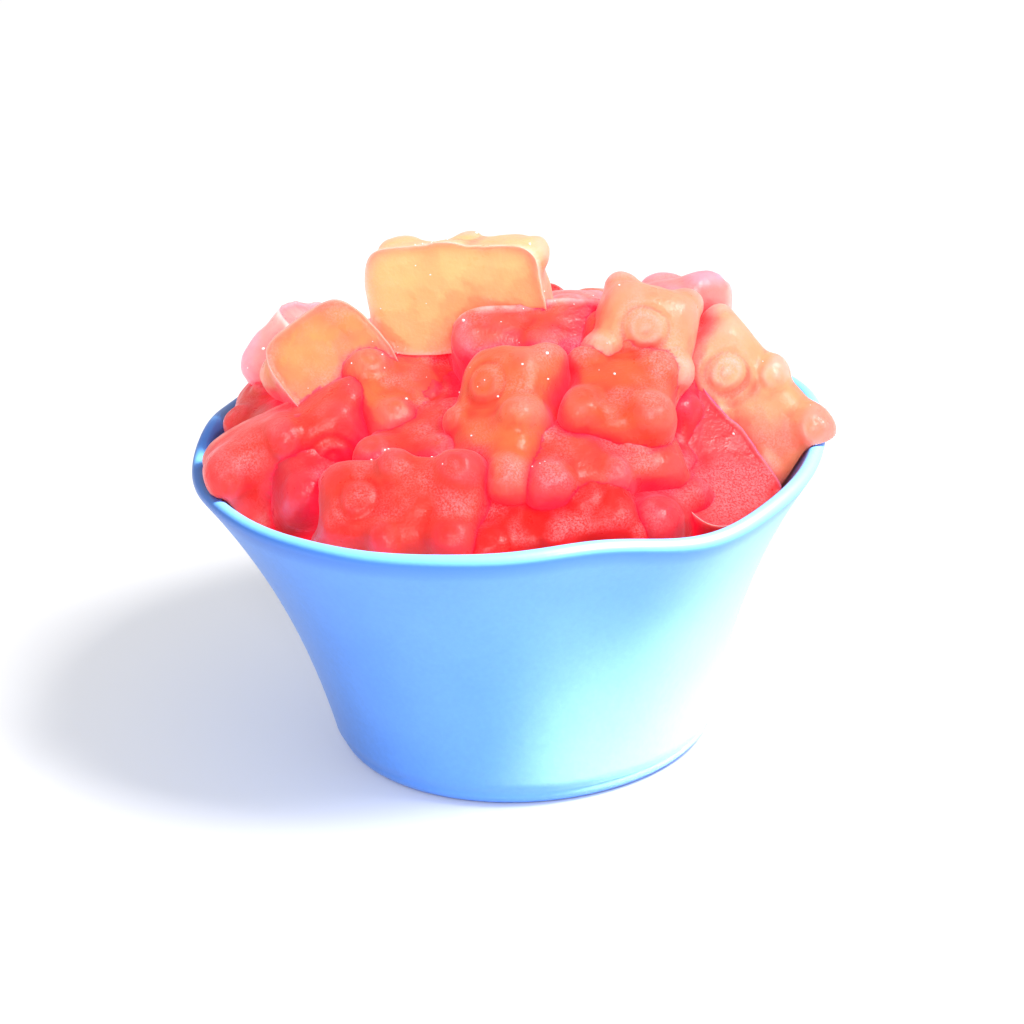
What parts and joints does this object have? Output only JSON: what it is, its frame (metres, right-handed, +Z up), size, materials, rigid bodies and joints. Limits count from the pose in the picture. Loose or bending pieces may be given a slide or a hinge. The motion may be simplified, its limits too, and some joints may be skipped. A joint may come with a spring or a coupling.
{
  "type": "bowl of gummy bears",
  "caption": "Soft gummy bears heaped above the rim of a small round flared bowl whose lip is swept into petals.",
  "frame": {"origin": "middle of the bowl's flat underside", "axes": "+Z up through the heap, -Y towards the front of the bowl as seen in the picture, +X to the right seen from the front"},
  "size_m": [0.0755, 0.0737, 0.0621],
  "materials": {
    "bowl_glaze": "satin pale blue glaze",
    "gummy_gel": "soft glossy coral and peach gel"
  },
  "bodies": {
    "root": {"bowl": "bowl_glaze", "gummy_bears": "gummy_gel"}
  },
  "joints": []
}
